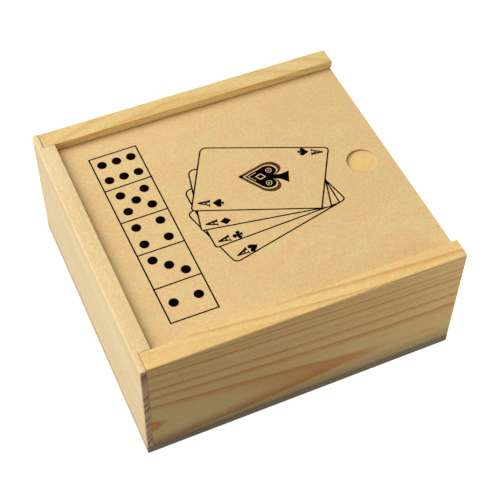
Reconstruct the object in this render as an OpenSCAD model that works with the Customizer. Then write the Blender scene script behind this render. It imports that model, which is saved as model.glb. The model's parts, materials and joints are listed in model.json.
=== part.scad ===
// Games compendium box: a pine box with a plywood lid that slides out to the right, over
// playing cards, a double-six set of dominoes and dice. Millimetres.
// The origin is the middle of the underside. +X is the way the lid slides out, +Y is the
// back and +Z is up. The box is sized by the games that lie in it.

/* [Walls] */
// Thickness of the front and back walls
side_t = 10; // [8:0.5:14]
// Thickness of the left and right walls
end_t = 9; // [7:0.5:12]
// Outer tongue of the left wall, which covers the ends of the front and back walls
tongue_t = 3; // [2:0.5:4]
// Depth of the rabbets in the front and back walls that hold the right wall
rabbet_d = 3; // [1:0.5:5]
// Height of the rim above the lid
rim_h = 5; // [3:0.5:10]

/* [Bottom] */
// Thickness of the plywood bottom panel
bottom_t = 6; // [3:0.5:8]
// Diameter of a brad's shank
brad_d = 1.4; // [1:0.1:2]
// Diameter of a brad's head
brad_head_d = 2.8; // [2.4:0.1:4]
// Thickness of a brad's head
brad_head_t = 0.8; // [0.4:0.1:1.2]
// Length of a brad, head included
brad_l = 16; // [10:1:25]
// How far a brad's head is set into the bottom panel
brad_set = 0.4; // [0.2:0.1:1]
// Brads under each wall
brads_per_wall = 3; // [2:1:5]
// Distance from a wall's end to its first brad
brad_inset = 18; // [14:1:30]

/* [Lid] */
// Thickness of the plywood lid
lid_t = 4; // [3:0.5:6]
// Depth of the lid grooves in the front and back walls
groove_d = 4; // [2.5:0.5:6]
// Depth of the lid groove in the left wall
end_groove_d = 3; // [2:0.5:4]
// Play between the lid and each face of its grooves
lid_play = 0.3; // [0.2:0.05:0.6]
// Distance from the closed lid's right edge to the ends of the walls
lid_inset = 0.6; // [0:0.1:3]
// Diameter of the finger recess
recess_dia = 15.5; // [12:0.5:22]
// Depth of the finger recess
recess_depth = 2; // [1:0.25:2.5]
// Distance from the lid's right edge to the middle of the finger recess
recess_inset = 15.5; // [12:0.1:30]

/* [Cards] */
// Length of a playing card
card_l = 88; // [80:1:95]
// Width of a playing card
card_w = 63; // [55:1:66]
// Corner radius of a playing card
card_r = 3.5; // [2:0.5:6]
// Thickness of one deck
deck_t = 16.5; // [12:0.5:22]
// Decks side by side
deck_count = 2; // [1:1:2]
// Play at each end of a deck
card_play = 1.25; // [0.5:0.25:4]
// Least play beside each deck
deck_play = 2; // [1:0.5:5]

/* [Dominoes] */
// Length of a domino tile
tile_l = 48; // [40:1:52]
// Width of a domino tile
tile_w = 24; // [20:1:26]
// Thickness of a domino tile
tile_t = 8; // [6:0.5:10]
// Play at each end of a tile
tile_end_play = 2.25; // [0.5:0.25:4]
// Gap beside each stack of tiles
tile_gap = 0.2; // [0.1:0.05:1]
// Stacks side by side
stack_count = 4; // [3:1:7]
// Width of the dividing line across a tile's face
line_w = 1; // [0.6:0.2:2]
// Depth of the dividing line
line_d = 0.4; // [0.2:0.1:1]
// Space between the fullest stack and the lid
head_room = 1; // [0.5:0.5:6]

/* [Dice] */
// Edge of a die
die = 15; // [12:1:17]
// How much the rounding takes off each corner of a die
die_corner = 2.2; // [1:0.1:3]
// Gap beside each die
die_gap = 1; // [0.5:0.25:2]
// Dice in the front row
front_dice = 3; // [1:1:3]
// Dice in the back row
back_dice = 2; // [1:1:3]

/* [Dividers] */
// Thickness of the dividers
divider_t = 4; // [3:0.5:6]
// Depth of the slots in the walls that hold the cross divider
slot_d = 2; // [1:0.5:3]
// Gap between the dividers and the lid
divider_gap = 2; // [1:0.5:10]

/* [Hidden] */
$fn = 48;
// Overshoot of a cut past the face it starts from
cut = 1;

// Double-six set: every pair of counts once, packed seven to a stack
top_count = 6;
pairs = [for (a = [0:top_count]) for (b = [a:top_count]) [a, b]];
stack_n = ceil(len(pairs) / stack_count);

// Compartments
card_space_w = card_l + 2 * card_play;
tile_space_w = max(
    tile_l + 2 * tile_end_play,
    max(front_dice, back_dice) * (die + die_gap) + die_gap
);
tile_space_d = stack_count * (tile_w + tile_gap) + tile_gap;
dice_space_d = 2 * (die + die_gap) + die_gap;
inner_w = card_space_w + divider_t + tile_space_w;
inner_d = max(
    deck_count * (card_w + deck_play) + deck_play,
    tile_space_d + divider_t + dice_space_d
);
inner_h = max(stack_n * tile_t, deck_t, die) + head_room;

// Outside of the box
box_w = inner_w + 2 * end_t;
box_d = inner_d + 2 * side_t;
box_h = bottom_t + inner_h + lid_t + rim_h;
wall_h = box_h - bottom_t;

// Faces inside the box
left_x = -box_w / 2 + end_t;
right_x = box_w / 2 - end_t;
front_y = -inner_d / 2;
back_y = inner_d / 2;
floor_z = bottom_t;

// Lid and its grooves
lid_z = bottom_t + inner_h;
groove_z = lid_z - lid_play;
groove_h = lid_t + 2 * lid_play;
lid_left_x = left_x - end_groove_d + lid_play;
lid_right_x = box_w / 2 - lid_inset;
lid_w = inner_d + 2 * (groove_d - lid_play);

// Dividers
cross_x = left_x + card_space_w;
divider_h = inner_h - divider_gap;
short_y = back_y - tile_space_d - divider_t;

// Brads
brad_side_x = box_w / 2 - brad_inset;
brad_side_y = box_d / 2 - side_t / 2;
brad_end_x = box_w / 2 - end_t / 2;
brad_end_y = box_d / 2 - side_t - brad_inset;
brad_steps = [for (i = [0:brads_per_wall - 1]) -1 + 2 * i / (brads_per_wall - 1)];
// A brad stands in the middle of the left wall's inner part, clear of its tongue
brad_left_x = -(brad_end_x - tongue_t / 2);

function tile_name(p) = str("domino_", p[0], "_", p[1]);
function tile_stack(i) = floor(i / stack_n);
function tile_layer(i) = i % stack_n;

FIXED = [
    "front_wall", "back_wall", "left_wall", "right_wall", "bottom_panel", "bottom_brads",
    "lid", "cross_divider", "short_divider"
];
DECKS = [for (i = [0:deck_count - 1]) str("card_deck_", i + 1)];
TILES = [for (p = pairs) tile_name(p)];
DICE = [for (i = [0:front_dice + back_dice - 1]) str("die_", i + 1)];

// Places of the brads under the front and back walls, or under the two end walls
module at_side_brads() {
    for (s = brad_steps)
        for (side = [-1, 1])
            translate([s * brad_side_x, side * brad_side_y, 0]) children();
}

module at_end_brads() {
    for (s = brad_steps) {
        translate([brad_left_x, s * brad_end_y, 0]) children();
        translate([brad_end_x, s * brad_end_y, 0]) children();
    }
}

module brad_hole() {
    translate([0, 0, -cut]) cylinder(h = brad_l + brad_set + cut, d = brad_d);
}

// Front wall with its lid groove, divider slot and rabbet for the right wall
module side_wall() {
    end_x = -box_w / 2 + tongue_t;
    difference() {
        translate([end_x, -box_d / 2, floor_z])
            cube([box_w - tongue_t, side_t, wall_h]);
        translate([end_x - cut, front_y - groove_d, groove_z])
            cube([box_w + 2 * cut, groove_d + cut, groove_h]);
        translate([right_x, front_y - rabbet_d, floor_z - cut])
            cube([end_t + cut, rabbet_d + cut, groove_z - floor_z + 2 * cut]);
        translate([cross_x, front_y - slot_d, floor_z - cut])
            cube([divider_t, slot_d + cut, divider_h + cut]);
        at_side_brads() brad_hole();
    }
}

module front_wall() {
    color("tan") side_wall();
}

module back_wall() {
    color("tan") mirror([0, 1, 0]) side_wall();
}

// Left wall: the tongue runs past the ends of the front and back walls
module left_wall() {
    color("burlywood") difference() {
        union() {
            translate([-box_w / 2, -box_d / 2, floor_z])
                cube([tongue_t, box_d, wall_h]);
            translate([-box_w / 2, front_y, floor_z])
                cube([end_t, inner_d, wall_h]);
        }
        translate([left_x - end_groove_d, front_y - cut, groove_z])
            cube([end_groove_d + cut, inner_d + 2 * cut, groove_h]);
        at_end_brads() brad_hole();
    }
}

// Right wall: it ends under the lid and stands in the rabbets
module right_wall() {
    color("burlywood") difference() {
        translate([right_x, front_y - rabbet_d, floor_z])
            cube([end_t, inner_d + 2 * rabbet_d, groove_z - floor_z]);
        at_end_brads() brad_hole();
    }
}

module bottom_panel() {
    color("peru") difference() {
        translate([-box_w / 2, -box_d / 2, 0]) cube([box_w, box_d, bottom_t]);
        at_side_brads() brad_seat();
        at_end_brads() brad_seat();
    }
}

// Hole and head seat for one brad in the bottom panel
module brad_seat() {
    brad_hole();
    translate([0, 0, -cut]) cylinder(h = brad_set + brad_head_t + cut, d = brad_head_d);
}

module brad() {
    translate([0, 0, brad_set]) {
        cylinder(h = brad_l, d = brad_d);
        cylinder(h = brad_head_t, d = brad_head_d);
    }
}

module bottom_brads() {
    color("dimgray") {
        at_side_brads() brad();
        at_end_brads() brad();
    }
}

module lid() {
    color("wheat") difference() {
        translate([lid_left_x, -lid_w / 2, lid_z])
            cube([lid_right_x - lid_left_x, lid_w, lid_t]);
        translate([lid_right_x - recess_inset, 0, lid_z + lid_t - recess_depth])
            cylinder(h = recess_depth + cut, d = recess_dia);
    }
}

// Divider between the cards and the other games, slotted into the front and back walls
module cross_divider() {
    color("tan") translate([cross_x, front_y - slot_d, floor_z])
        cube([divider_t, inner_d + 2 * slot_d, divider_h]);
}

// Divider between the dominoes and the dice
module short_divider() {
    color("tan") translate([cross_x + divider_t, short_y, floor_z])
        cube([right_x - cross_x - divider_t, divider_t, divider_h]);
}

// Outline of a card, its length along X, centred
module card_outline() {
    square([card_l, card_w - 2 * card_r], center = true);
    square([card_l - 2 * card_r, card_w], center = true);
    for (x = [-1, 1])
        for (y = [-1, 1])
            translate([x * (card_l / 2 - card_r), y * (card_w / 2 - card_r)])
                circle(r = card_r);
}

// Deck i, counted from the front; the spare depth is shared out beside the decks
module card_deck(i) {
    spare = (inner_d - deck_count * card_w) / (deck_count + 1);
    y = front_y + spare + card_w / 2 + i * (card_w + spare);
    color(i == 0 ? "firebrick" : "navy")
        translate([left_x + card_space_w / 2, y, floor_z])
            linear_extrude(deck_t) card_outline();
}

// Tile i of the set, face up with its dividing line, in its stack
module domino(i) {
    x = cross_x + divider_t + tile_space_w / 2;
    y = back_y - tile_gap - tile_w / 2 - tile_stack(i) * (tile_w + tile_gap);
    z = floor_z + tile_layer(i) * tile_t;
    color("navajowhite") translate([x, y, z]) difference() {
        translate([-tile_l / 2, -tile_w / 2, 0]) cube([tile_l, tile_w, tile_t]);
        translate([-line_w / 2, -tile_w / 2 - cut, tile_t - line_d])
            cube([line_w, tile_w + 2 * cut, line_d + cut]);
    }
}

// Die i: the front row is filled first, from the left
module one_die(i) {
    row = i < front_dice ? 0 : 1;
    column = i - row * front_dice;
    x = cross_x + divider_t + die_gap + die / 2 + column * (die + die_gap);
    y = front_y + die_gap + die / 2 + row * (die + die_gap);
    color("ivory") translate([x, y, floor_z + die / 2]) intersection() {
        cube(die, center = true);
        sphere(r = die * sqrt(3) / 2 - die_corner);
    }
}

front_wall();
back_wall();
left_wall();
right_wall();
bottom_panel();
bottom_brads();
lid();
cross_divider();
short_divider();
for (i = [0:deck_count - 1])
    card_deck(i);
for (i = [0:len(pairs) - 1])
    domino(i);
for (i = [0:len(DICE) - 1])
    one_die(i);
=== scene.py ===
"""Looks of the games compendium box: pine boards, a printed plywood lid and the games inside."""

import json
import math
import random

import bmesh
import bpy
from mathutils import Matrix, Vector

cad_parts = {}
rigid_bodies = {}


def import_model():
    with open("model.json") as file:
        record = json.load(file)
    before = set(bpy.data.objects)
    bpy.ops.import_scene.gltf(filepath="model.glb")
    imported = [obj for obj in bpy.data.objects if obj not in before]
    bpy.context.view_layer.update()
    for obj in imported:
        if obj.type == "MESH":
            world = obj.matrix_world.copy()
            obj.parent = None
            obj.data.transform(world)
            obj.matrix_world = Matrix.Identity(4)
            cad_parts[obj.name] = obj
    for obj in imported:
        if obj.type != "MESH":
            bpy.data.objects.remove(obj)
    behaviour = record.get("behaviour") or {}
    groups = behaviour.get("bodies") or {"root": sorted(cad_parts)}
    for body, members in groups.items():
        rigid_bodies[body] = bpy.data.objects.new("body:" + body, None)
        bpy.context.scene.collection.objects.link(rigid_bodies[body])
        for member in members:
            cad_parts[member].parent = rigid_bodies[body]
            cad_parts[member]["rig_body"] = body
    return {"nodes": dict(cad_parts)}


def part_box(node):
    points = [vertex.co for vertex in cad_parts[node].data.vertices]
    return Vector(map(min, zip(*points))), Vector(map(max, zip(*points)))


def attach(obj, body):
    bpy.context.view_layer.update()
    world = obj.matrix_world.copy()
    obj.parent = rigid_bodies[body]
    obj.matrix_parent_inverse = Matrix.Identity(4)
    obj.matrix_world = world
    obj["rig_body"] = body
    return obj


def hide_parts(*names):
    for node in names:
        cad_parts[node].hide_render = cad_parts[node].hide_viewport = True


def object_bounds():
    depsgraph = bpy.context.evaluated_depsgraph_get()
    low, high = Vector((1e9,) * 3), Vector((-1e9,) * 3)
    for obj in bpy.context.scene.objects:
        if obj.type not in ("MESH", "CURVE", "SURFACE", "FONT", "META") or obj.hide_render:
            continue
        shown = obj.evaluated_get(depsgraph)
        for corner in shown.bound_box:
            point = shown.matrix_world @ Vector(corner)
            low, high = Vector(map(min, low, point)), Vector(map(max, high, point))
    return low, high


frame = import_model()
cad_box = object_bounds()

bpy.context.scene.view_settings.view_transform = "Standard"

MM = 0.001
NODES = frame["nodes"]
BOX = "box"
LID = "lid"

# Camera, fitted to the edges of the box in the photograph
CAMERA_PLACE = Vector((-0.15748, -0.34641, 0.51233))
CAMERA_AIM = Vector((0.00165, -0.00744, 0.035))
CAMERA_ROLL = math.radians(1.422)
CAMERA_LENS_MM = 85.7
SENSOR_MM = 36.0

# Places that the frame gives
BOX_LOW, BOX_HIGH = cad_box
LID_LOW, LID_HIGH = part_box("lid")

# Light: what bounced light meets, and what the camera sees, of the room and the paper floor
ROOM_BOUNCED = 0.11
ROOM_SEEN = 1.0
PAPER_BOUNCED = 0.25
PAPER_SEEN = 0.45
PAPER_GLOW = 0.88
FLOOR_GIVE = 0.05 * MM

# Edges of the boards
SANDED_EDGE = 0.9 * MM
CUT_EDGE = 0.25 * MM
LID_EDGE = 0.3 * MM
DIVIDER_EDGE = 0.4 * MM
BOTTOM_EDGE = 0.6 * MM

# Finger recess, with its middle this far from the right end of the lid
RECESS_INSET = 15.5 * MM
RECESS_MIDDLE = Vector((LID_HIGH.x - RECESS_INSET, 0.0))
RECESS_REACH = 8.5 * MM
RECESS_DEPTH = 2.0 * MM
RECESS_RIM = 0.3 * MM
RECESS_SLANT = math.radians(4.6)


# Camera, floor and light


def make_camera():
    data = bpy.data.cameras.new("camera")
    data.lens = CAMERA_LENS_MM
    data.sensor_width = SENSOR_MM
    camera = bpy.data.objects.new("camera", data)
    bpy.context.scene.collection.objects.link(camera)
    look = (CAMERA_AIM - CAMERA_PLACE).to_track_quat("-Z", "Y")
    camera.matrix_world = (
        Matrix.Translation(CAMERA_PLACE)
        @ look.to_matrix().to_4x4()
        @ Matrix.Rotation(CAMERA_ROLL, 4, "Z")
    )
    bpy.context.scene.camera = camera


def make_area_light(name, place, aim, size, watts, colour):
    data = bpy.data.lights.new(name, "AREA")
    data.shape = "DISK"
    data.size = size
    data.energy = watts
    data.color = colour
    light = bpy.data.objects.new(name, data)
    bpy.context.scene.collection.objects.link(light)
    light.location = place
    light.rotation_mode = "QUATERNION"
    light.rotation_quaternion = (Vector(aim) - Vector(place)).to_track_quat("-Z", "Y")
    light.visible_camera = False


def make_lights():
    """A broad lamp from the upper left, a low one from the left, a small one at the front right,
    and one under the floor for views from below."""
    make_area_light(
        "key", place=(-0.83, 0.61, 1.43), aim=(0, 0, 0.04), size=1.6, watts=32.6,
        colour=(1.0, 0.99, 0.97),
    )
    make_area_light(
        "low", place=(-0.5, -0.09, 0.25), aim=(-0.08, -0.02, 0.04), size=0.3, watts=0.6,
        colour=(1.0, 0.99, 0.97),
    )
    make_area_light(
        "fill", place=(0.28, -0.22, 0.12), aim=(0.09, -0.08, 0.04), size=0.12, watts=0.36,
        colour=(1.0, 0.97, 0.93),
    )
    make_area_light(
        "under", place=(-0.3, -0.5, -0.8), aim=(0, 0, 0), size=0.8, watts=6.0,
        colour=(1.0, 1.0, 1.0),
    )


def seen_directly(tree):
    """1 for what the camera sees, directly or in gloss and glass, and 0 for bounced light."""
    path = tree.nodes.new("ShaderNodeLightPath")
    glossy = tree.nodes.new("ShaderNodeMath")
    glossy.operation = "MAXIMUM"
    tree.links.new(path.outputs["Is Camera Ray"], glossy.inputs[0])
    tree.links.new(path.outputs["Is Glossy Ray"], glossy.inputs[1])
    both = tree.nodes.new("ShaderNodeMath")
    both.operation = "MAXIMUM"
    tree.links.new(glossy.outputs[0], both.inputs[0])
    tree.links.new(path.outputs["Is Transmission Ray"], both.inputs[1])
    return both.outputs[0]


def make_world():
    world = bpy.data.worlds.new("studio")
    world.use_nodes = True
    tree = world.node_tree
    background = tree.nodes["Background"]
    background.inputs["Color"].default_value = (1, 1, 1, 1)
    strength = tree.nodes.new("ShaderNodeMapRange")
    strength.inputs["To Min"].default_value = ROOM_BOUNCED
    strength.inputs["To Max"].default_value = ROOM_SEEN
    tree.links.new(seen_directly(tree), strength.inputs["Value"])
    tree.links.new(strength.outputs[0], background.inputs["Strength"])
    bpy.context.scene.world = world


def make_floor():
    """White paper. The box sinks into it by a hair, so that its underside shows from below."""
    bpy.ops.mesh.primitive_plane_add(size=8, location=(0, 0, BOX_LOW.z + FLOOR_GIVE))
    floor = bpy.context.active_object
    floor.name = "floor"
    material = bpy.data.materials.new("floor_paper")
    material.use_nodes = True
    tree = material.node_tree
    shader = tree.nodes["Principled BSDF"]
    shader.inputs["Roughness"].default_value = 0.9
    shader.inputs["Specular IOR Level"].default_value = 0.0
    shader.inputs["Emission Color"].default_value = (1, 1, 1, 1)
    seen = seen_directly(tree)
    paper = tree.nodes.new("ShaderNodeMapRange")
    paper.inputs["To Min"].default_value = PAPER_BOUNCED
    paper.inputs["To Max"].default_value = PAPER_SEEN
    tree.links.new(seen, paper.inputs["Value"])
    tree.links.new(paper.outputs[0], shader.inputs["Base Color"])
    glow = tree.nodes.new("ShaderNodeMath")
    glow.operation = "MULTIPLY"
    glow.inputs[1].default_value = PAPER_GLOW
    tree.links.new(seen, glow.inputs[0])
    tree.links.new(glow.outputs[0], shader.inputs["Emission Strength"])
    floor.data.materials.append(material)


# Finishes


def rgb(red, green, blue):
    """A colour given as 0 to 255 on screen, as linear light."""
    return tuple(
        c / 12.92 if c <= 0.04045 else ((c + 0.055) / 1.055) ** 2.4
        for c in (red / 255, green / 255, blue / 255)
    ) + (1.0,)


class Finish:
    """A material and the short calls that its pattern is written with."""

    def __init__(self, name):
        self.material = bpy.data.materials.new(name)
        self.material.use_nodes = True
        self.tree = self.material.node_tree
        self.shader = self.tree.nodes["Principled BSDF"]
        self.spot = self.tree.nodes.new("ShaderNodeTexCoord")

    def set(self, **values):
        for name, value in values.items():
            self.shader.inputs[name.replace("_", " ")].default_value = value

    def feed(self, socket, value):
        if isinstance(value, bpy.types.NodeSocket):
            self.tree.links.new(value, socket)
        elif value is not None:
            socket.default_value = value

    def node(self, kind, *values, **settings):
        made = self.tree.nodes.new(kind)
        for name, value in settings.items():
            setattr(made, name, value)
        for socket, value in zip(made.inputs, values):
            self.feed(socket, value)
        return made

    def math(self, operation, *values, clamp=False):
        return self.node("ShaderNodeMath", *values, operation=operation, use_clamp=clamp).outputs[0]

    def vector(self, operation, *values):
        return self.node("ShaderNodeVectorMath", *values, operation=operation)

    def turned(self, heart=(0, 0, 0), lean=(0, 0, 0)):
        """Millimetres from the heart of the tree, with X along the grain."""
        made = self.node("ShaderNodeMapping", vector_type="TEXTURE")
        self.feed(made.inputs["Vector"], self.spot.outputs["Object"])
        made.inputs["Location"].default_value = [c * MM for c in heart]
        made.inputs["Rotation"].default_value = [math.radians(a) for a in lean]
        made.inputs["Scale"].default_value = (MM, MM, MM)
        return made.outputs[0]

    def stretched(self, vector, along, across):
        return self.vector("MULTIPLY", vector, (along, across, across)).outputs[0]

    def noise(self, vector, detail=2.0, roughness=0.5, distortion=0.0):
        made = self.node("ShaderNodeTexNoise")
        self.feed(made.inputs["Vector"], vector)
        made.inputs["Scale"].default_value = 1.0
        made.inputs["Detail"].default_value = detail
        made.inputs["Roughness"].default_value = roughness
        made.inputs["Distortion"].default_value = distortion
        return made.outputs[0]

    def span(self, value, low, high, to_low=0.0, to_high=1.0):
        made = self.node("ShaderNodeMapRange", value, low, high, to_low, to_high)
        return made.outputs[0]

    def ramp(self, value, stops):
        made = self.node("ShaderNodeValToRGB", value)
        line = made.color_ramp
        while len(line.elements) < len(stops):
            line.elements.new(1.0)
        for element, (place, level) in zip(line.elements, stops):
            element.position = place
            element.color = (level, level, level, 1.0)
        return made.outputs["Color"]

    def mix(self, share, first, second, blend="MIX"):
        made = self.tree.nodes.new("ShaderNodeMix")
        made.data_type = "RGBA"
        made.blend_type = blend
        self.feed(made.inputs["Factor"], share)
        self.feed(made.inputs[6], first)
        self.feed(made.inputs[7], second)
        return made.outputs[2]

    def facing(self, axis):
        """How squarely a face looks along an axis of the object, from 0 to 1."""
        made = self.vector("DOT_PRODUCT", self.spot.outputs["Normal"], axis)
        return self.math("ABSOLUTE", made.outputs["Value"])

    def bump(self, height, strength, distance_mm):
        made = self.tree.nodes.new("ShaderNodeBump")
        made.inputs["Strength"].default_value = strength
        made.inputs["Distance"].default_value = distance_mm * MM
        self.feed(made.inputs["Height"], height)
        self.tree.links.new(made.outputs[0], self.shader.inputs["Normal"])


RING_MARGIN = 4.0
INK_DARK = rgb(5, 3, 5)
GLUE_BROWN = rgb(92, 56, 34)


def tinted(colour, red, green, blue):
    """The colour with its three parts taken down or up."""
    return (colour[0] * red, colour[1] * green, colour[2] * blue, 1.0)


def ring_stops(rings, faint):
    """Stops of a ramp over a band of rings: each ring darkens slowly and ends sharply."""
    start = rings[0] - RING_MARGIN
    band = rings[-1] + RING_MARGIN - start
    stops = []
    inner = start
    for ring in rings:
        if ring not in faint:
            stops.append(((inner + (ring - inner) * 0.5 - start) / band, 0.0))
        stops.append(((ring - 0.25 - start) / band, 0.35 if ring in faint else 1.0))
        stops.append(((ring + 0.1 - start) / band, 0.0))
        inner = ring
    return stops


def pine(
    name, heart, lean, rings, early, late, end_axis,
    depth=1.0, faint=(), bow=0.0, sway=1.6, seams=(), foot_shade=0.0,
):
    """Pine sawn from a log: rings round the heart, fine fibre, and darker end grain.

    Rings are radii in millimetres. Bow bends the heart, sway makes the rings wander, seams are
    glued joints given as a place and an axis, and the foot shade is painted shade that darkens the
    board towards its lower edge.
    """
    f = Finish(name)
    spot = f.turned(heart, lean)
    if bow:
        along = f.node("ShaderNodeSeparateXYZ", spot).outputs["X"]
        sag = f.math("MULTIPLY", f.math("MULTIPLY", along, along), bow)
        spot = f.vector("ADD", spot, f.node("ShaderNodeCombineXYZ", None, sag).outputs[0]).outputs[0]
    drift = f.noise(f.stretched(spot, 0.018, 0.05), 2.0)
    ripple = f.noise(f.stretched(spot, 0.05, 0.45), 2.0)
    radius = f.vector("LENGTH", f.stretched(spot, 0.0, 1.0)).outputs["Value"]
    radius = f.math("ADD", radius, f.span(drift, 0.2, 0.8, -sway, sway))
    wave = 0.15 + 0.15 * sway
    radius = f.math("ADD", radius, f.span(ripple, 0, 1, -wave, wave))
    band = f.span(radius, rings[0] - RING_MARGIN, rings[-1] + RING_MARGIN)
    late_wood = f.ramp(band, ring_stops(rings, faint))

    patch = f.noise(f.stretched(spot, 0.02, 0.12), 3.0)
    late_share = f.math("MULTIPLY", late_wood, f.span(patch, 0.3, 0.7, 0.7 * depth, depth))
    sanded = f.span(f.facing((0, 0, 1)), 0.5, 1.0, 1.0, 0.6)
    late_share = f.math("MULTIPLY", late_share, sanded)
    cloud = f.noise(f.stretched(spot, 0.012, 0.06), 2.0)
    ground = f.mix(f.span(cloud, 0.35, 0.65), early, tinted(early, 0.97, 0.90, 0.80))
    fibre = f.noise(f.stretched(spot, 0.10, 5.0), 4.0, 0.6)
    fuzz = f.noise(f.stretched(spot, 0.6, 1.3), 3.0, 0.75)
    colour = f.mix(late_share, ground, late)
    colour = f.mix(1.0, colour, f.span(fibre, 0.25, 0.75, 0.88, 1.08), "MULTIPLY")
    colour = f.mix(1.0, colour, f.span(fuzz, 0.3, 0.7, 0.86, 1.10), "MULTIPLY")
    canal = f.noise(f.stretched(spot, 0.35, 9.0), 1.0)
    canal_share = f.span(canal, 0.70, 0.80, 0.0, 0.35)
    colour = f.mix(canal_share, colour, tinted(late, 0.55, 0.55, 0.55))

    end_share = f.span(f.facing(end_axis), 0.75, 0.97)
    pores = f.noise(f.stretched(spot, 2.0, 5.5), 3.0, 0.7)
    end_tint = f.mix(late_wood, rgb(226, 178, 134), rgb(98, 50, 26))
    end_tint = f.mix(1.0, end_tint, f.span(pores, 0.3, 0.7, 0.82, 1.12), "MULTIPLY")
    colour = f.mix(end_share, colour, end_tint)
    places = f.node("ShaderNodeSeparateXYZ", f.spot.outputs["Object"]).outputs
    for place, axis in seams:
        away = f.math("ABSOLUTE", f.math("SUBTRACT", places[axis], place))
        line = f.span(away, 0.55 * MM, 0.25 * MM, 0.0, 0.8)
        glued = f.math("MULTIPLY", line, f.span(cloud, 0.45, 0.6, 0.3, 1.0))
        colour = f.mix(glued, colour, GLUE_BROWN)
    # Painted shade: the board darkens towards its bottom, as if shaded near the floor.
    if foot_shade:
        painted_shade = f.span(places["Z"], 6 * MM, 16 * MM, foot_shade, 1.0)
        colour = f.mix(1.0, colour, painted_shade, "MULTIPLY")
    f.feed(f.shader.inputs["Base Color"], colour)

    f.feed(f.shader.inputs["Roughness"], f.span(fibre, 0.2, 0.8, 0.62, 0.50))
    f.set(Specular_IOR_Level=0.35)
    relief = f.math("ADD", f.math("MULTIPLY", late_wood, 0.35), f.math("MULTIPLY", fibre, 0.65))
    f.bump(relief, 0.35, 0.12)
    return f.material


def plywood(name, face, edge_dark, edge_light, low_z, high_z, plies, turn=0.0):
    """Plywood: a quiet rotary-cut face, bare plies along every edge, torn wood in cuts, and painted
    shade on sloping faces in cuts.
    """
    f = Finish(name)
    spot = f.turned((0, 0, 0), (0, 0, turn))
    wave = f.noise(f.stretched(spot, 0.015, 0.05), 3.0, 0.55, 0.6)
    cloud = f.noise(f.stretched(spot, 0.09, 0.14), 3.0, 0.6)
    figure = f.noise(f.stretched(spot, 0.06, 0.7), 4.0, 0.6, 0.3)
    dash = f.noise(f.stretched(spot, 0.5, 3.2), 3.0, 0.6)
    speck = f.noise(f.stretched(spot, 0.9, 1.1), 2.0, 0.7)
    deep = tinted(face, 0.90, 0.84, 0.76)
    rosy = tinted(face, 1.01, 0.90, 0.85)
    straw = tinted(face, 0.97, 1.02, 0.84)
    colour = f.mix(f.span(wave, 0.35, 0.7, 0.0, 0.45), face, deep)
    colour = f.mix(f.span(cloud, 0.42, 0.62, 0.0, 0.7), colour, rosy)
    colour = f.mix(f.span(cloud, 0.46, 0.30, 0.0, 0.7), colour, straw)
    colour = f.mix(f.span(figure, 0.45, 0.75, 0.0, 0.40), colour, rosy)
    colour = f.mix(f.span(dash, 0.56, 0.78, 0.0, 0.75), colour, deep)
    colour = f.mix(1.0, colour, f.span(speck, 0.3, 0.7, 0.90, 1.09), "MULTIPLY")

    axes = f.node("ShaderNodeSeparateXYZ", f.spot.outputs["Object"])
    height = f.span(axes.outputs["Z"], low_z, high_z)
    torn = f.noise(f.vector("MULTIPLY", spot, (0.42, 0.20, 1.0)).outputs[0], 4.0, 0.7, 1.2)
    fresh = tinted(face, 1.08, 1.05, 0.76)
    # Dark torn wood, also used below as painted shade on sloping faces in cuts.
    torn_dark_and_shade = tinted(face, 0.66, 0.56, 0.42)
    cut = f.mix(f.span(torn, 0.42, 0.56), rosy, fresh)
    cut = f.mix(f.span(torn, 0.62, 0.70), cut, torn_dark_and_shade)
    # Painted shade: sloping faces inside cuts, such as the rim of the finger recess, are darkened as if
    # in shade.
    cut = f.mix(f.span(f.facing((0, 0, 1)), 0.9, 0.4, 0.0, 0.6), cut, torn_dark_and_shade)
    inside = f.math("MULTIPLY", f.math("GREATER_THAN", height, 0.05), f.math("LESS_THAN", height, 0.95))
    colour = f.mix(inside, colour, cut)

    layer = f.math("FRACT", f.math("MULTIPLY", height, (plies + 1) / 2))
    middle = f.math("ABSOLUTE", f.math("SUBTRACT", layer, 0.5))
    lay = f.span(middle, 0.20, 0.30)
    grit = f.noise(f.vector("MULTIPLY", spot, (1.2, 1.2, 6.0)).outputs[0], 3.0, 0.7)
    # The given ply colours hold some painted shade as well as the tone of the plies.
    edge = f.mix(lay, edge_light, edge_dark)
    edge = f.mix(f.span(f.facing((1, 0, 0)), 0.5, 0.9, 0.0, 0.75), edge, face)
    edge = f.mix(1.0, edge, f.span(grit, 0.25, 0.75, 0.72, 1.15), "MULTIPLY")
    flat = f.span(f.facing((0, 0, 1)), 0.3, 0.75)
    f.feed(f.shader.inputs["Base Color"], f.mix(flat, edge, colour))
    f.feed(f.shader.inputs["Roughness"], f.span(dash, 0.3, 0.7, 0.56, 0.48))
    f.set(Specular_IOR_Level=0.35)
    relief = f.math("ADD", figure, f.math("MULTIPLY", dash, 0.6))
    relief = f.math("ADD", relief, f.math("MULTIPLY", f.math("MULTIPLY", inside, torn), 4.0))
    f.bump(relief, 0.25, 0.08)
    return f.material


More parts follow.
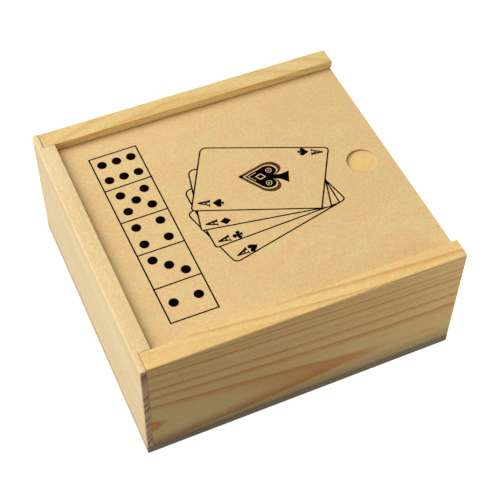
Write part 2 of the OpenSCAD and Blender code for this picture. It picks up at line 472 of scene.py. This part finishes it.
def ink(name, hatch_middle=None):
    """Black screen print that has sunk a little into the wood, whole or as fine rays."""
    f = Finish(name)
    spot = f.turned((*hatch_middle, 0) if hatch_middle else (0, 0, 0))
    worn = f.noise(f.stretched(spot, 1.4, 1.4), 3.0, 0.7)
    colour = f.mix(f.span(worn, 0.35, 0.8), INK_DARK, rgb(22, 11, 8))
    if hatch_middle:
        axes = f.node("ShaderNodeSeparateXYZ", spot)
        angle = f.math("ARCTAN2", axes.outputs["Y"], axes.outputs["X"])
        ray = f.math("SINE", f.math("MULTIPLY", angle, 60.0))
        colour = f.mix(f.span(ray, 0.2, 0.9, 0.1, 0.85), colour, rgb(150, 106, 56))
    f.feed(f.shader.inputs["Base Color"], colour)
    f.feed(f.shader.inputs["Roughness"], f.span(worn, 0.3, 0.7, 0.55, 0.75))
    f.set(Specular_IOR_Level=0.0)
    return f.material


LATTICE_PITCH = 1.25


def card_stock(name, centre, half_length, half_width, back):
    """Playing cards: a lattice back inside a white border, and layered white edges."""
    f = Finish(name)
    spot = f.turned([c / MM for c in centre])
    axes = f.node("ShaderNodeSeparateXYZ", spot)
    out_x = f.math("DIVIDE", f.math("ABSOLUTE", axes.outputs["X"]), half_length)
    out_y = f.math("DIVIDE", f.math("ABSOLUTE", axes.outputs["Y"]), half_width)
    inside_x = f.math("LESS_THAN", out_x, 0.93)
    inside_y = f.math("LESS_THAN", out_y, 0.905)
    panel = f.math("MULTIPLY", inside_x, inside_y)
    inner = f.math(
        "MULTIPLY", f.math("LESS_THAN", out_x, 0.905), f.math("LESS_THAN", out_y, 0.87)
    )
    waves = []
    for slope in ("ADD", "SUBTRACT"):
        across = f.math(slope, axes.outputs["X"], axes.outputs["Y"])
        waves.append(f.math("SINE", f.math("MULTIPLY", across, LATTICE_PITCH)))
    lattice = f.math("MULTIPLY", *waves)
    dots = f.span(f.math("ABSOLUTE", lattice), 0.08, 0.16)
    stars = f.span(lattice, 0.75, 0.85)
    white = rgb(240, 236, 226)
    pattern = f.mix(dots, white, back)
    pattern = f.mix(stars, pattern, white)
    pattern = f.mix(inner, back, pattern)
    face = f.mix(panel, white, pattern)
    grain = f.noise(f.vector("MULTIPLY", spot, (0.4, 0.4, 22.0)).outputs[0], 2.0, 0.7)
    edges = f.mix(f.span(grain, 0.3, 0.7), rgb(240, 234, 220), rgb(188, 180, 164))
    flat = f.span(f.facing((0, 0, 1)), 0.5, 0.9)
    f.feed(f.shader.inputs["Base Color"], f.mix(flat, edges, face))
    f.set(Roughness=0.38)
    f.bump(f.noise(f.stretched(spot, 1.8, 1.8), 2.0), 0.12, 0.02)
    return f.material


def domino_wood(name):
    """Pale, close-grained wood under a thin gloss."""
    f = Finish(name)
    spot = f.turned()
    cloud = f.noise(f.stretched(spot, 0.03, 0.2), 3.0)
    fibre = f.noise(f.stretched(spot, 0.15, 4.0), 4.0, 0.6)
    colour = f.mix(f.span(cloud, 0.3, 0.7), rgb(226, 190, 134), rgb(206, 160, 100))
    colour = f.mix(1.0, colour, f.span(fibre, 0.3, 0.7, 0.88, 1.06), "MULTIPLY")
    f.feed(f.shader.inputs["Base Color"], colour)
    f.feed(f.shader.inputs["Roughness"], f.span(fibre, 0.3, 0.7, 0.32, 0.48))
    f.bump(fibre, 0.2, 0.05)
    return f.material


def die_plastic(name):
    """Ivory-coloured plastic that lets a little light in."""
    f = Finish(name)
    spot = f.turned()
    cloud = f.noise(f.stretched(spot, 0.12, 0.12), 2.0)
    colour = f.mix(f.span(cloud, 0.3, 0.7), rgb(243, 238, 222), rgb(232, 224, 202))
    f.feed(f.shader.inputs["Base Color"], colour)
    f.feed(f.shader.inputs["Roughness"], f.span(cloud, 0.3, 0.7, 0.18, 0.3))
    f.set(Subsurface_Weight=0.08, Subsurface_Scale=0.002)
    return f.material


def brad_steel(name):
    """Bare steel wire, scuffed by the hammer."""
    f = Finish(name)
    spot = f.turned()
    scuff = f.noise(f.stretched(spot, 3.0, 3.0), 3.0, 0.7)
    colour = f.mix(f.span(scuff, 0.3, 0.7), rgb(176, 174, 170), rgb(120, 114, 106))
    f.feed(f.shader.inputs["Base Color"], colour)
    f.feed(f.shader.inputs["Roughness"], f.span(scuff, 0.3, 0.7, 0.3, 0.55))
    f.set(Metallic=1.0)
    return f.material


# Modelling


def take(piece):
    """Selects one piece alone and makes it the active one."""
    bpy.ops.object.select_all(action="DESELECT")
    piece.select_set(True)
    bpy.context.view_layer.objects.active = piece


def apply(piece, kind, **settings):
    """Adds a modifier, sets it and applies it."""
    take(piece)
    modifier = piece.modifiers.new(kind.lower(), kind)
    for name, value in settings.items():
        setattr(modifier, name, value)
    bpy.ops.object.modifier_apply(modifier=modifier.name)


def join(pieces, name):
    bpy.ops.object.select_all(action="DESELECT")
    for piece in pieces:
        piece.select_set(True)
    bpy.context.view_layer.objects.active = pieces[0]
    bpy.ops.object.join()
    pieces[0].name = name
    return pieces[0]


def settle(piece, *materials):
    """Puts the piece's place into its mesh and gives it its finish."""
    take(piece)
    bpy.ops.object.transform_apply(location=True, rotation=True, scale=True)
    for number, material in enumerate(materials):
        if number < len(piece.data.materials):
            piece.data.materials[number] = material
        else:
            piece.data.materials.append(material)


def on_outside(corner):
    """On how many outer faces of the whole box a corner lies."""
    near = 0.01 * MM
    return sum(
        abs(corner[axis] - face[axis]) < near for axis in range(3) for face in (BOX_LOW, BOX_HIGH)
    )


def soften(piece, outer, inner, steps=3, least=5 * MM):
    """Rounds the long edges of a board: the outer ones more, as sanding does."""
    for width, is_outer in ((outer, True), (inner, False)):
        if not width:
            continue
        take(piece)
        bpy.ops.object.mode_set(mode="EDIT")
        bpy.ops.mesh.select_mode(type="EDGE")
        bpy.ops.mesh.select_all(action="DESELECT")
        mesh = bmesh.from_edit_mesh(piece.data)
        for edge in mesh.edges:
            sharp = len(edge.link_faces) == 2 and edge.is_convex
            sharp = sharp and edge.calc_face_angle() > math.radians(40) and edge.calc_length() > least
            both_out = min(on_outside(v.co) for v in edge.verts) >= 2
            edge.select_set(sharp and both_out == is_outer)
        bmesh.update_edit_mesh(piece.data)
        bpy.ops.mesh.bevel(offset=width, segments=steps, affect="EDGES", clamp_overlap=False)
        bpy.ops.object.mode_set(mode="OBJECT")


def keep_inside(piece):
    """Pulls stray corners of a bevel back onto the outer faces of the whole box."""
    for vertex in piece.data.vertices:
        vertex.co = [min(max(c, low), high) for c, low, high in zip(vertex.co, BOX_LOW, BOX_HIGH)]


def smooth(piece):
    """Smooth shading that keeps the flat faces flat."""
    take(piece)
    bpy.ops.object.shade_smooth_by_angle(angle=math.radians(40))
    apply(piece, "WEIGHTED_NORMAL", keep_sharp=True)


def merged_copy(node, name):
    """A copy of a CAD piece as clean faces instead of loose triangles."""
    piece = bpy.data.objects.new(name, NODES[node].data.copy())
    bpy.context.scene.collection.objects.link(piece)
    piece.data.materials.clear()
    take(piece)
    bpy.ops.object.mode_set(mode="EDIT")
    bpy.ops.mesh.select_all(action="SELECT")
    bpy.ops.mesh.remove_doubles(threshold=0.001 * MM)
    bpy.ops.mesh.dissolve_limited(angle_limit=math.radians(0.5))
    bpy.ops.object.mode_set(mode="OBJECT")
    return piece


def board(node, name, material, outer=SANDED_EDGE, inner=CUT_EDGE, carve=None):
    """A sanded board that stands for a CAD piece."""
    piece = merged_copy(node, name)
    if carve:
        carve(piece)
    soften(piece, outer, inner)
    keep_inside(piece)
    smooth(piece)
    settle(piece, material)
    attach(piece, NODES[node]["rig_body"])
    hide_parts(node)
    return piece


def plate(name, corners, radii, bottom, height, line=None):
    """A flat plate through four corners in millimetres, or only its border line."""
    bpy.ops.object.select_all(action="DESELECT")
    bpy.ops.mesh.primitive_plane_add(size=1, location=(0, 0, 0))
    piece = bpy.context.active_object
    piece.name = name
    around = sorted(piece.data.vertices, key=lambda v: math.atan2(v.co.y, v.co.x))
    for vertex, (x, y) in zip(around, corners):
        vertex.co = (x * MM, y * MM, bottom)
    bpy.ops.object.mode_set(mode="EDIT")
    for (x, y), radius in zip(corners, radii):
        bpy.ops.mesh.select_mode(type="VERT")
        bpy.ops.mesh.select_all(action="DESELECT")
        mesh = bmesh.from_edit_mesh(piece.data)
        nearest = min(mesh.verts, key=lambda v: (v.co.xy - Vector((x, y)) * MM).length)
        nearest.select_set(True)
        bmesh.update_edit_mesh(piece.data)
        bpy.ops.mesh.bevel(offset=radius * MM, segments=6, affect="VERTICES", clamp_overlap=False)
    bpy.ops.mesh.select_mode(type="FACE")
    bpy.ops.mesh.select_all(action="SELECT")
    if line:
        bpy.ops.mesh.inset(thickness=line)
        bpy.ops.mesh.delete(type="FACE")
        bpy.ops.mesh.select_all(action="SELECT")
    bpy.ops.mesh.extrude_region_move(TRANSFORM_OT_translate={"value": (0, 0, height)})
    bpy.ops.mesh.select_all(action="SELECT")
    bpy.ops.mesh.normals_make_consistent(inside=False)
    bpy.ops.object.mode_set(mode="OBJECT")
    return piece


def stamp(name, outlines, place, up):
    """A printed figure. Outlines are (x, y, round) points in millimetres with +Y up."""
    data = bpy.data.curves.new(name, "CURVE")
    data.dimensions = "2D"
    data.fill_mode = "BOTH"
    data.resolution_u = 8
    data.extrude = INK_HEIGHT / 2
    for outline in outlines:
        spline = data.splines.new("BEZIER")
        spline.use_cyclic_u = True
        spline.bezier_points.add(len(outline) - 1)
        for point, (x, y, is_round) in zip(spline.bezier_points, outline):
            point.co = (x * MM, y * MM, 0)
            point.handle_left_type = "AUTO" if is_round else "VECTOR"
            point.handle_right_type = point.handle_left_type
    piece = bpy.data.objects.new(name, data)
    bpy.context.scene.collection.objects.link(piece)
    take(piece)
    bpy.ops.object.convert(target="MESH")
    piece = bpy.context.active_object
    piece.rotation_euler = (0, 0, math.radians(up - 90))
    piece.location = (place[0] * MM, place[1] * MM, INK_MIDDLE)
    take(piece)
    bpy.ops.object.transform_apply(location=True, rotation=True, scale=True)
    return piece


# The box


def make_walls():
    left_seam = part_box("front_wall")[0].x
    seams = ((left_seam, "X"),)
    front = pine(
        "front_pine", (0, -107, 20.1), (0, 2.2, -2.1),
        (25.8, 31.05, 36.0, 40.7, 45.7, 49.8, 52.6, 55.1, 60.0, 62.2, 65.6),
        rgb(243, 209, 140), rgb(206, 130, 30), (1, 0, 0),
        faint=(45.7, 52.6, 60.0), bow=-1 / 3700, sway=0.3, seams=seams, foot_shade=0.58,
    )
    back = pine(
        "back_pine", (-5, 50, -20), (0, 0, 0),
        (48.0, 57.0, 65.0, 72.0, 78.5, 84.5, 90.0, 94.9, 98.0, 101.4),
        rgb(236, 208, 142), rgb(220, 166, 90), (1, 0, 0), bow=1 / 320, sway=0.9, seams=seams,
    )
    left = pine(
        "left_pine", (-26, 0, -19), (0, 0, 90),
        (63.0, 65.2, 67.8, 71.4, 75.2, 80.7, 83.9, 88.8, 104.1, 109.0),
        rgb(237, 214, 165), rgb(224, 184, 116), (0, 1, 0), depth=0.42, sway=0.5,
    )
    right = pine(
        "right_pine", (130, 0, 100), (0, 0, 91.5),
        (62.0, 68.0, 73.0, 77.5, 82.0, 87.0, 92.0, 97.0, 102.0, 108.0),
        rgb(240, 213, 156), rgb(216, 160, 84), (0, 1, 0),
    )
    board("front_wall", "front_board", front)
    board("back_wall", "back_board", back)
    board("left_wall", "left_board", left)
    board("right_wall", "right_board", right)


def make_bottom():
    low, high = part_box("bottom_panel")
    # The edge ply colours are darker for burnt, dirty saw cuts and also as painted shade, since the
    # bottom edge stands in shade.
    ply = plywood(
        "bottom_plywood", rgb(222, 190, 142), rgb(92, 76, 48), rgb(150, 126, 82),
        low.z, high.z, 5, turn=90.0,
    )
    board("bottom_panel", "bottom_plate", ply, outer=BOTTOM_EDGE, inner=0.0)
    brads = NODES["bottom_brads"]
    brads.data.materials.clear()
    brads.data.materials.append(brad_steel("brad_steel"))


def make_dividers():
    wood = pine(
        "divider_pine", (0, -30, -60), (0, 0, 90),
        tuple(44 + 4.6 * i for i in range(10)),
        rgb(242, 214, 158), rgb(222, 170, 98), (0, 0, 1), depth=0.7,
    )
    board("cross_divider", "cross_board", wood, inner=DIVIDER_EDGE)
    board("short_divider", "short_board", wood, inner=DIVIDER_EDGE)


def pick_circle(lid, level):
    """Selects the edges of the finger recess that lie at one height."""
    bpy.ops.mesh.select_mode(type="EDGE")
    bpy.ops.mesh.select_all(action="DESELECT")
    mesh = bmesh.from_edit_mesh(lid.data)
    for edge in mesh.edges:
        edge.select_set(all(
            abs(v.co.z - level) < 0.01 * MM and (v.co.xy - RECESS_MIDDLE).length < RECESS_REACH
            for v in edge.verts
        ))
    bmesh.update_edit_mesh(lid.data)


def dish_recess(lid):
    """Slants the floor of the finger recess up to the right and breaks its rim."""
    take(lid)
    bpy.ops.object.mode_set(mode="EDIT")
    pick_circle(lid, LID_HIGH.z)
    bpy.ops.mesh.bevel(offset=RECESS_RIM, segments=3, affect="EDGES", clamp_overlap=False)
    floor_z = LID_HIGH.z - RECESS_DEPTH
    pick_circle(lid, floor_z)
    bpy.ops.transform.rotate(
        value=RECESS_SLANT, orient_axis="Y", orient_type="GLOBAL",
        center_override=(RECESS_MIDDLE.x - RECESS_REACH, 0, floor_z),
    )
    bpy.ops.object.mode_set(mode="OBJECT")


def make_lid():
    # The dark ply colour is partly painted shade, for the shaded walls of the finger recess.
    ply = plywood(
        "lid_plywood", rgb(229, 199, 143), rgb(140, 90, 44), rgb(196, 148, 92),
        LID_LOW.z, LID_HIGH.z, 3,
    )
    board("lid", "lid_panel", ply, inner=LID_EDGE, carve=dish_recess)


# The print on the lid, in millimetres as read off the lid

INK_HEIGHT = 0.05 * MM
INK_FOOT = LID_HIGH.z - INK_HEIGHT * 0.3
INK_MIDDLE = LID_HIGH.z + INK_HEIGHT * 0.2
LINE_WIDTH = 0.75 * MM
ACE_PLACE = (16.3, 9.7)
ACE_UP = 157.9
ACE_HOLE = 0.81
ACE_CORE = 0.73
STRIP_LEFT = (
    (-60.3, 54.3), (-59.9, 31.3), (-59.8, 9.2), (-59.7, -12.6), (-59.5, -34.0), (-59.2, -54.6),
)
STRIP_RIGHT = (
    (-35.2, 54.6), (-35.1, 32.0), (-35.4, 9.4), (-35.5, -12.5), (-35.5, -33.8), (-35.5, -54.8),
)
STRIP_PIPS = (6, 5, 4, 3, 2)
PIP_RADIUS = 2.45
PIP_SIDE = 6.25
PIP_SIDE_OF_SIX = 7.7
PIP_RISE = 5.5
CARDS = (
    ((-5.5, 40.6), (55.4, 15.0), (34.1, -20.8), (-26.0, 3.1)),
    ((-17.3, 28.8), (49.4, 13.6), (39.1, -21.6), (-26.1, -10.5)),
    ((-24.3, 17.0), (44.2, 13.1), (43.9, -20.9), (-23.5, -23.0)),
    ((-28.6, 2.9), (40.5, 10.6), (47.7, -19.9), (-18.4, -35.0)),
)
CARD_CORNERS = (
    (3.2, 2.6, 0.6, 2.4), (3.4, 1.0, 1.0, 1.6), (4.0, 1.0, 1.0, 1.8), (3.6, 1.0, 2.2, 3.2),
)

# Figures of cards, with their middle near the origin and +Y up
LETTER_A = (
    (
        (-2.1, 0, 0), (-0.4, 0, 0), (-0.4, 0.5, 0), (-0.8, 0.6, 0), (-0.5, 1.6, 0),
        (0.45, 1.6, 0), (0.65, 0.6, 0), (0.25, 0.5, 0), (0.25, 0, 0), (2.3, 0, 0), (2.3, 0.5, 0),
        (1.95, 0.6, 0), (0.5, 6.1, 0), (-0.25, 6.1, 0), (-1.5, 0.6, 0), (-2.1, 0.5, 0),
    ),
    ((-0.3, 2.3, 0), (0.35, 2.3, 0), (0.02, 3.9, 0)),
)
DIAMOND = ((0, 2.8, 0), (2.15, 0, 0), (0, -2.8, 0), (-2.15, 0, 0))


def mirrored(half):
    """A closed outline from its right half, given from the top down."""
    return tuple(half) + tuple((-x, y, r) for x, y, r in reversed(half) if x > 0)


HEART = mirrored(((0, 1.4, 0), (1.25, 2.4, 1), (2.35, 1.3, 1), (1.5, -0.7, 1), (0, -2.6, 0)))
CLUB = mirrored((
    (0, 2.6, 1), (1.2, 1.5, 1), (0.8, 0.5, 1), (1.8, 0.4, 1), (2.45, -0.7, 1),
    (1.5, -1.7, 1), (0.35, -1.05, 0), (0.95, -2.6, 0),
))
SPADE = mirrored((
    (0, 3.0, 0), (1.4, 1.3, 1), (2.5, -0.1, 1), (2.2, -1.3, 1), (1.2, -1.6, 1),
    (0.4, -1.1, 0), (0.95, -2.7, 0),
))
SPADE_BODY = mirrored((
    (0, 13.0, 0), (6.4, 4.0, 1), (9.7, -1.6, 1), (8.9, -6.6, 1), (5.8, -8.6, 1), (3.0, -7.6, 1),
    (0.6, -5.0, 0),
))
SPADE_STEM = mirrored(((1.3, -3.0, 0), (1.7, -8.2, 1), (3.9, -12.6, 0)))
SPADE_TIP = mirrored(((0, 13.0, 0), (1.5, 10.9, 0), (0, 10.5, 0)))
SPADE_ANGLE = mirrored(((0, 8.1, 0), (2.9, 4.0, 0), (2.6, 3.8, 0), (0, 7.5, 0)))
SPADE_RINGS = (1.6, 1.2, 0.5)
SPADE_RING_SIDE = 4.2
SPADE_RING_HEIGHT = -2.5


def scaled(outline, size, shift=0.0):
    """The outline made smaller or larger about its middle, then moved up."""
    return tuple((x * size, y * size + shift, r) for x, y, r in outline)


def ring(x, y, radius):
    """A round outline."""
    return ((x, y + radius, 1), (x + radius, y, 1), (x, y - radius, 1), (x - radius, y, 1))


def between(first, second, share):
    """The point at a share of the way from the first to the second."""
    return tuple(a + (b - a) * share for a, b in zip(first, second))


def pip_spots(count):
    """Places of the pips of one half of a domino or a face of a die, from -1 to 1."""
    spots = {
        1: ((0, 0),),
        2: ((-1, -1), (1, 1)),
        3: ((-1, 1), (0, 0), (1, -1)),
        4: ((-1, 1), (1, 1), (-1, -1), (1, -1)),
        5: ((-1, 1), (1, 1), (0, 0), (-1, -1), (1, -1)),
        6: ((-1, 1), (0, 1), (1, 1), (-1, -1), (0, -1), (1, -1)),
    }
    return spots.get(count, ())


def print_line(name, start, end):
    """A straight printed line between two points in millimetres."""
    along = (Vector(end) - Vector(start)).normalized() * LINE_WIDTH / MM / 2
    side = Vector((-along.y, along.x))
    a, b = Vector(start) - along, Vector(end) + along
    corners = (a - side, b - side, b + side, a + side)
    return plate(name, corners, (), INK_FOOT, INK_HEIGHT)


def print_pip(x, y):
    """A round printed dot."""
    bpy.ops.object.select_all(action="DESELECT")
    bpy.ops.mesh.primitive_cylinder_add(
        vertices=40, radius=PIP_RADIUS * MM, depth=INK_HEIGHT, location=(x * MM, y * MM, INK_MIDDLE)
    )
    return bpy.context.active_object


def make_domino_print(black):
    """A strip of domino faces: two long lines, six cross lines and the dots between them."""
    marks = []
    sides = ((STRIP_LEFT[0], STRIP_LEFT[-1]), (STRIP_RIGHT[0], STRIP_RIGHT[-1]))
    for start, end in sides + tuple(zip(STRIP_LEFT, STRIP_RIGHT)):
        marks.append(print_line("strip_line", start, end))
    for number, count in enumerate(STRIP_PIPS):
        top = between(STRIP_LEFT[number], STRIP_RIGHT[number], 0.5)
        bottom = between(STRIP_LEFT[number + 1], STRIP_RIGHT[number + 1], 0.5)
        x, y = between(top, bottom, 0.5)
        side = PIP_SIDE_OF_SIX if count == 6 else PIP_SIDE
        rise = 0.0 if count == 2 else PIP_RISE
        for right, up in pip_spots(count):
            marks.append(print_pip(x + right * side, y + up * rise))
    finish_print(join(marks, "domino_print"), black)


def make_card_prints(black):
    """Outlines of four fanned cards, each cut away where an upper card covers it."""
    for number, (corners, radii) in enumerate(zip(CARDS, CARD_CORNERS)):
        name = "card_outline_%d" % (number + 1)
        card = plate(name, corners, radii, INK_FOOT, INK_HEIGHT, LINE_WIDTH)
        for upper, upper_radii in zip(CARDS[:number], CARD_CORNERS):
            cover = plate("cover", upper, upper_radii, INK_FOOT - MM, 3 * MM)
            apply(card, "BOOLEAN", operation="DIFFERENCE", object=cover, solver="EXACT")
            bpy.data.objects.remove(cover)
        finish_print(card, black)


def make_index_prints(black):
    """The letter and the suit in the corners of the cards: direction, two places and suit."""
    rows = (
        (157.7, (-15.2, 4.1), (-11.3, 2.8), SPADE),
        (-22.3, (45.4, 15.5), (41.5, 17.2), SPADE),
        (169.7, (-16.4, -8.6), (-12.5, -9.1), DIAMOND),
        (181.4, (-14.8, -19.6), (-10.7, -19.4), CLUB),
        (191.7, (-9.9, -29.9), (-6.8, -29.2), HEART),
    )
    for number, (up, letter, pip, suit) in enumerate(rows):
        marks = [stamp("letter", LETTER_A, letter, up), stamp("suit", (suit,), pip, up)]
        finish_print(join(marks, "card_index_%d" % (number + 1)), black)


def make_ace_print(black, hatched):
    """The large spade: a hatched border, a pale line and a black heart with open figures."""
    rim = stamp("spade_border", (SPADE_BODY, scaled(SPADE_BODY, ACE_HOLE)), ACE_PLACE, ACE_UP)
    finish_print(rim, hatched)
    figures = [scaled(SPADE_BODY, ACE_CORE), SPADE_ANGLE]
    figures += [scaled(DIAMOND, size, 1.6) for size in (1.0, 0.68)]
    for side in (-SPADE_RING_SIDE, SPADE_RING_SIDE):
        figures += [ring(side, SPADE_RING_HEIGHT, radius) for radius in SPADE_RINGS]
    core = stamp("spade_core", figures, ACE_PLACE, ACE_UP)
    stem = stamp("spade_stem", (SPADE_STEM,), ACE_PLACE, ACE_UP)
    tip = stamp("spade_tip", (SPADE_TIP,), ACE_PLACE, ACE_UP)
    finish_print(join([core, stem, tip], "spade_heart"), black)


def finish_print(piece, material):
    """Inks a printed figure and fixes it to the lid."""
    settle(piece, material)
    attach(piece, LID)


def make_print():
    black = ink("lid_ink")
    hatched = ink("lid_ink_hatched", ACE_PLACE)
    make_domino_print(black)
    make_card_prints(black)
    make_index_prints(black)
    make_ace_print(black, hatched)


# The games

TILE_EDGE = 0.5 * MM
TILE_PIP_PITCH = 6.2 * MM
TILE_PIP_RADIUS = 1.9 * MM
TILE_PIP_DEPTH = 0.8 * MM
DIE_BALL = 1.438
DIE_PIP_PITCH = 0.46
DIE_PIP_RADIUS = 1.35 * MM
DIE_PIP_DEPTH = 0.5 * MM
DIE_FACES = (
    (1, Vector((0, 0, 1))), (6, Vector((0, 0, -1))), (2, Vector((0, -1, 0))),
    (5, Vector((0, 1, 0))), (3, Vector((1, 0, 0))), (4, Vector((-1, 0, 0))),
)
DIE_TURNS = ((0, 0, 0), (90, 0, 0), (0, 90, 90), (180, 0, 90), (0, -90, 0))
DECKS = ((rgb(168, 32, 34), "cards_red"), (rgb(30, 58, 128), "cards_blue"))
DECK_COUNT = 52
CARD_ROUND = 3.5
CARD_PART = 0.97
SLIP_ALONG = 0.25
SLIP_ACROSS = 0.20


def pip_cutter(spots, radius, depth, wood, black):
    """Round drill tips at the given places and turns, joined into one cutter."""
    ball = (radius * radius + depth * depth) / (2 * depth)
    tips = []
    for spot, out in spots:
        bpy.ops.object.select_all(action="DESELECT")
        bpy.ops.mesh.primitive_uv_sphere_add(
            segments=16, ring_count=12, radius=ball, location=spot + out * (ball - depth)
        )
        tips.append(bpy.context.active_object)
    cutter = join(tips, "pip_cutter")
    settle(cutter, wood, black)
    for face in cutter.data.polygons:
        face.material_index = 1
        face.use_smooth = True
    return cutter


def drill_pips(piece, spots, radius, depth, body, black):
    """Drills blackened pips at the given places."""
    if spots:
        cutter = pip_cutter(spots, radius, depth, body, black)
        apply(piece, "BOOLEAN", operation="DIFFERENCE", object=cutter, solver="EXACT")
        bpy.data.objects.remove(cutter)


def tile_spots(low, high, low_end, high_end):
    """Places of the pips on the upper face of a tile that lies along X."""
    spots = []
    for side, count in ((-1, low_end), (1, high_end)):
        middle = (low + high) / 2 + Vector((side * (high.x - low.x) / 4, 0, 0))
        middle.z = high.z
        for x, y in pip_spots(count):
            spots.append((middle + Vector((y, x, 0)) * TILE_PIP_PITCH, Vector((0, 0, 1))))
    return spots


def make_dominoes():
    wood = domino_wood("domino_wood")
    black = ink("pip_ink")
    for high_end in range(7):
        for low_end in range(high_end + 1):
            node = "domino_%d_%d" % (low_end, high_end)
            low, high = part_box(node)
            piece = merged_copy(node, "tile_%d_%d" % (low_end, high_end))
            soften(piece, TILE_EDGE, TILE_EDGE, least=2 * MM)
            settle(piece, wood, black)
            spots = tile_spots(low, high, low_end, high_end)
            drill_pips(piece, spots, TILE_PIP_RADIUS, TILE_PIP_DEPTH, wood, black)
            smooth(piece)
            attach(piece, BOX)
            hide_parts(node)


def rounded_cube(name, half):
    """A cube whose corners a ball has cut off."""
    bpy.ops.object.select_all(action="DESELECT")
    bpy.ops.mesh.primitive_cube_add(size=2 * half)
    piece = bpy.context.active_object
    piece.name = name
    bpy.ops.mesh.primitive_uv_sphere_add(segments=48, ring_count=24, radius=half * DIE_BALL)
    ball = bpy.context.active_object
    apply(piece, "BOOLEAN", operation="INTERSECT", object=ball, solver="EXACT")
    bpy.data.objects.remove(ball)
    return piece


def die_spots(half):
    """Places of the pips on the six faces of a die, with opposite faces adding up to seven."""
    spots = []
    for count, out in DIE_FACES:
        right = Vector((out.y, out.z, out.x))
        up = out.cross(right)
        for x, y in pip_spots(count):
            spots.append((out * half + (right * x + up * y) * half * DIE_PIP_PITCH, out))
    return spots


def make_dice():
    plastic = die_plastic("die_plastic")
    black = ink("die_ink")
    for number, turn in enumerate(DIE_TURNS):
        node = "die_%d" % (number + 1)
        low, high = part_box(node)
        half = (high.z - low.z) / 2
        piece = rounded_cube("cube_die_%d" % (number + 1), half)
        settle(piece, plastic, black)
        drill_pips(piece, die_spots(half), DIE_PIP_RADIUS, DIE_PIP_DEPTH, plastic, black)
        piece.rotation_euler = [math.radians(a) for a in turn]
        piece.location = (low + high) / 2
        settle(piece, plastic, black)
        smooth(piece)
        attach(piece, BOX)
        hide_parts(node)


def stacked_card(low, high, bottom, thickness, slip_x, slip_y):
    """One card of a deck, shifted a little in the stack."""
    corners = [
        (x / MM + slip_x, y / MM + slip_y)
        for x, y in ((low.x, high.y), (high.x, high.y), (high.x, low.y), (low.x, low.y))
    ]
    return plate("card", corners, (CARD_ROUND,) * 4, bottom, thickness)


def make_decks():
    """Each deck is a stack of thin cards that don't lie quite true."""
    for number, (back, slot) in enumerate(DECKS):
        node = "card_deck_%d" % (number + 1)
        low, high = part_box(node)
        centre = ((low.x + high.x) / 2, (low.y + high.y) / 2, high.z)
        half_length = (high.x - low.x) / 2 / MM
        half_width = (high.y - low.y) / 2 / MM
        stock = card_stock(slot + "_stock", centre, half_length, half_width, back)
        pitch = (high.z - low.z) / DECK_COUNT
        draw = random.Random(7 + number)
        cards = []
        for level in range(DECK_COUNT):
            loose = 0 < level < DECK_COUNT - 1
            slip_x = draw.uniform(-SLIP_ALONG, SLIP_ALONG) if loose else 0.0
            slip_y = draw.uniform(-SLIP_ACROSS, SLIP_ACROSS) if loose else 0.0
            bottom = low.z + level * pitch
            cards.append(stacked_card(low, high, bottom, pitch * CARD_PART, slip_x, slip_y))
        piece = join(cards, "deck_%d" % (number + 1))
        settle(piece, stock)
        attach(piece, BOX)
        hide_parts(node)


make_camera()
make_world()
make_lights()
make_floor()
make_walls()
make_bottom()
make_dividers()
make_lid()
make_print()
make_dominoes()
make_dice()
make_decks()
